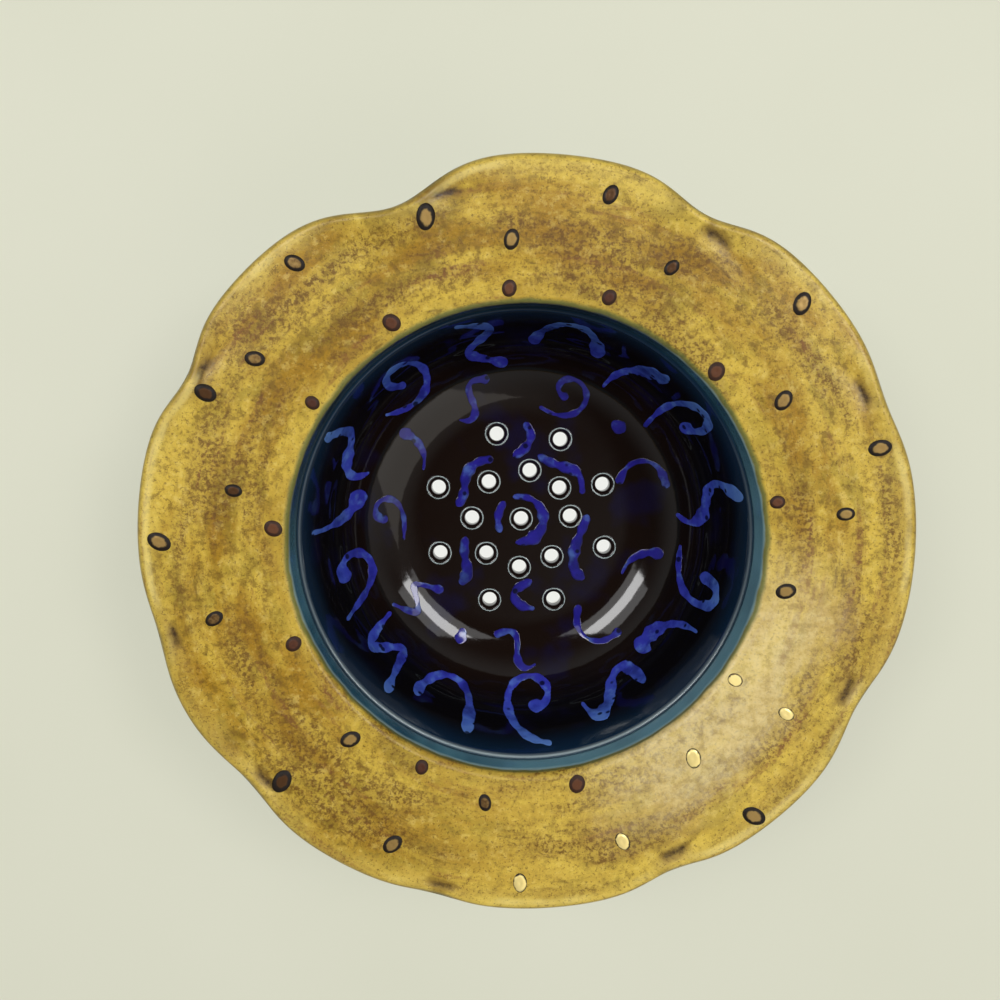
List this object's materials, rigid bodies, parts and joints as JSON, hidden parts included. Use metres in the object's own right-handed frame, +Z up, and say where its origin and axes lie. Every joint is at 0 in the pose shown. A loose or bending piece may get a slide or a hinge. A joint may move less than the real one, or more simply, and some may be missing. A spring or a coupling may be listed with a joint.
{
  "type": "berry colander bowl",
  "caption": "Glazed stoneware berry bowl with a wide pinched rim, a deep round well, drain holes in the floor and a footed base, for rinsing and serving fruit.",
  "frame": {"origin": "centre of the foot ring, on the surface that the bowl stands on", "axes": "+Z up along the bowl's turning axis; +Y towards the top of the picture, +X to its right, along which the slightly oval rim is longest"},
  "size_m": [0.2159, 0.2119, 0.0778],
  "materials": {
    "well_glaze": "high-gloss blue-black glaze",
    "rim_glaze": "satin amber glaze with brown mottling",
    "bare_clay": "matt bare stoneware",
    "drop_glaze": "bronze lustre glaze"
  },
  "bodies": {
    "root": {"well": "well_glaze", "rim": "rim_glaze", "foot_ring": "bare_clay", "drops_outer": "drop_glaze", "drops_middle": "drop_glaze", "drops_inner": "drop_glaze"}
  },
  "joints": []
}
